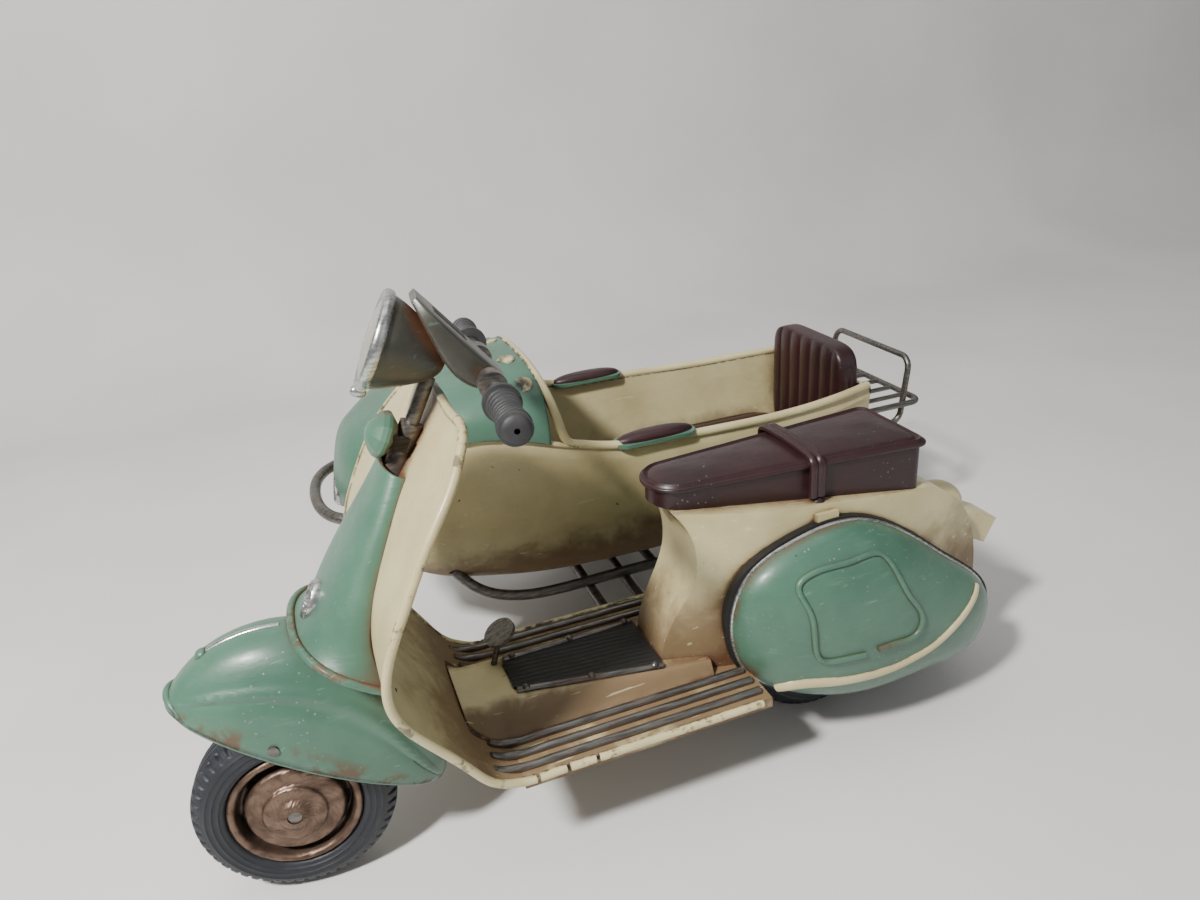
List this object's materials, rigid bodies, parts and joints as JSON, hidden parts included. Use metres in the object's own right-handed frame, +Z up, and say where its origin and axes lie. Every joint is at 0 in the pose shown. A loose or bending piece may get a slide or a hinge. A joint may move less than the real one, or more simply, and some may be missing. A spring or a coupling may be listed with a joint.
{
  "type": "tinplate toy motor scooter with sidecar",
  "caption": "Tinplate toy scooter with a boat-shaped sidecar: steered front wheel under a deep mudguard, legshield, bench seat, side cowls, open cockpit, wire rack.",
  "frame": {"origin": "middle of the bounding box, on the ground", "axes": "+X forward, +Y to the rider's left, +Z up"},
  "size_m": [0.2348, 0.1638, 0.1315],
  "materials": {
    "green_paint": "pale sea green enamel, worn semi-gloss",
    "grey_green_paint": "grey-green enamel with brown patina",
    "cream_paint": "cream enamel, worn semi-gloss with dark edges",
    "maroon_paint": "dark maroon enamel, semi-gloss",
    "brown_floor": "cream enamel stained brown",
    "dull_steel": "dull silver-grey steel",
    "dark_steel": "darkened steel",
    "plated_trim": "worn bright plating",
    "bronze_rim": "aged bronze tone with dark recesses",
    "black_tyre": "bluish-black rubber",
    "grip_rubber": "dark grey rubber",
    "black_mat": "black ribbed mat and seal",
    "lamp_glass": "clouded clear lens",
    "red_lens": "dull red lens"
  },
  "bodies": {
    "scooter": {"legshield": "cream_paint", "floorboard": "brown_floor", "floor_rails": "dull_steel", "tunnel": "cream_paint", "tunnel_mat": "black_mat", "mat_rails": "dull_steel", "mat_rivets": "dull_steel", "head_tube": "dull_steel", "column_cover": "green_paint", "badge": "plated_trim", "horn": "green_paint", "horn_bracket": "dark_steel", "brake_pedal": "dull_steel", "rear_body": "cream_paint", "rear_axle": "dull_steel", "cowl_left": "green_paint", "cowl_right": "green_paint", "cowl_seals": "black_mat", "cowl_trims": "green_paint", "cowl_mouldings": "cream_paint", "seat_base": "maroon_paint", "seat_top": "maroon_paint", "seat_strap": "maroon_paint", "strap_studs": "maroon_paint", "seat_brackets": "cream_paint", "tail_dome": "cream_paint", "tail_lamp_housing": "cream_paint", "tail_lamp_lens": "red_lens", "sidecar_hull": "cream_paint", "sidecar_deck": "green_paint", "sidecar_coaming": "cream_paint", "deck_buttons": "cream_paint", "sidecar_cushion": "maroon_paint", "sidecar_seat_back": "maroon_paint", "armrest_pads": "maroon_paint", "armrest_bases": "green_paint", "nose_lamp_bezel": "plated_trim", "nose_lamp_lens": "lamp_glass", "bumper_hoop": "dull_steel", "frame_rail": "dull_steel", "cross_rods": "dull_steel", "luggage_rack": "dull_steel", "rack_hoop": "dull_steel", "sidecar_axle": "dull_steel"},
    "steering": {"fork": "dull_steel", "mudguard": "green_paint", "mudguard_strip": "plated_trim", "mudguard_bolts": "dull_steel", "nacelle": "grey_green_paint", "headlamp_bucket": "grey_green_paint", "headlamp_rim": "plated_trim", "headlamp_lens": "lamp_glass", "handlebar": "dull_steel", "grips": "grip_rubber"},
    "front_wheel": {"front_tyre": "black_tyre", "front_wheel_disc": "bronze_rim"},
    "rear_wheel": {"rear_tyre": "black_tyre", "rear_wheel_disc": "bronze_rim"},
    "sidecar_wheel": {"sidecar_tyre": "black_tyre", "sidecar_wheel_disc": "bronze_rim"}
  },
  "joints": [
    {"name": "steering_turn", "type": "hinge", "parent": "scooter", "child": "steering", "pos_m": [0.07644, 0.03978, 0.06662], "axis": [-0.4726, 0, 0.8813], "range_deg": [-18, 32]},
    {"name": "front_wheel_spin", "type": "hinge", "parent": "steering", "child": "front_wheel", "pos_m": [0.09517, 0.04033, 0.02214], "axis": [0.1074, 0.9925, 0.0576], "continuous": true},
    {"name": "rear_wheel_spin", "type": "hinge", "parent": "scooter", "child": "rear_wheel", "pos_m": [-0.04086, 0.03978, 0.02212], "axis": [0, 1, 0], "continuous": true},
    {"name": "sidecar_wheel_spin", "type": "hinge", "parent": "scooter", "child": "sidecar_wheel", "pos_m": [-0.01686, -0.07472, 0.02212], "axis": [0, 1, 0], "continuous": true}
  ]
}
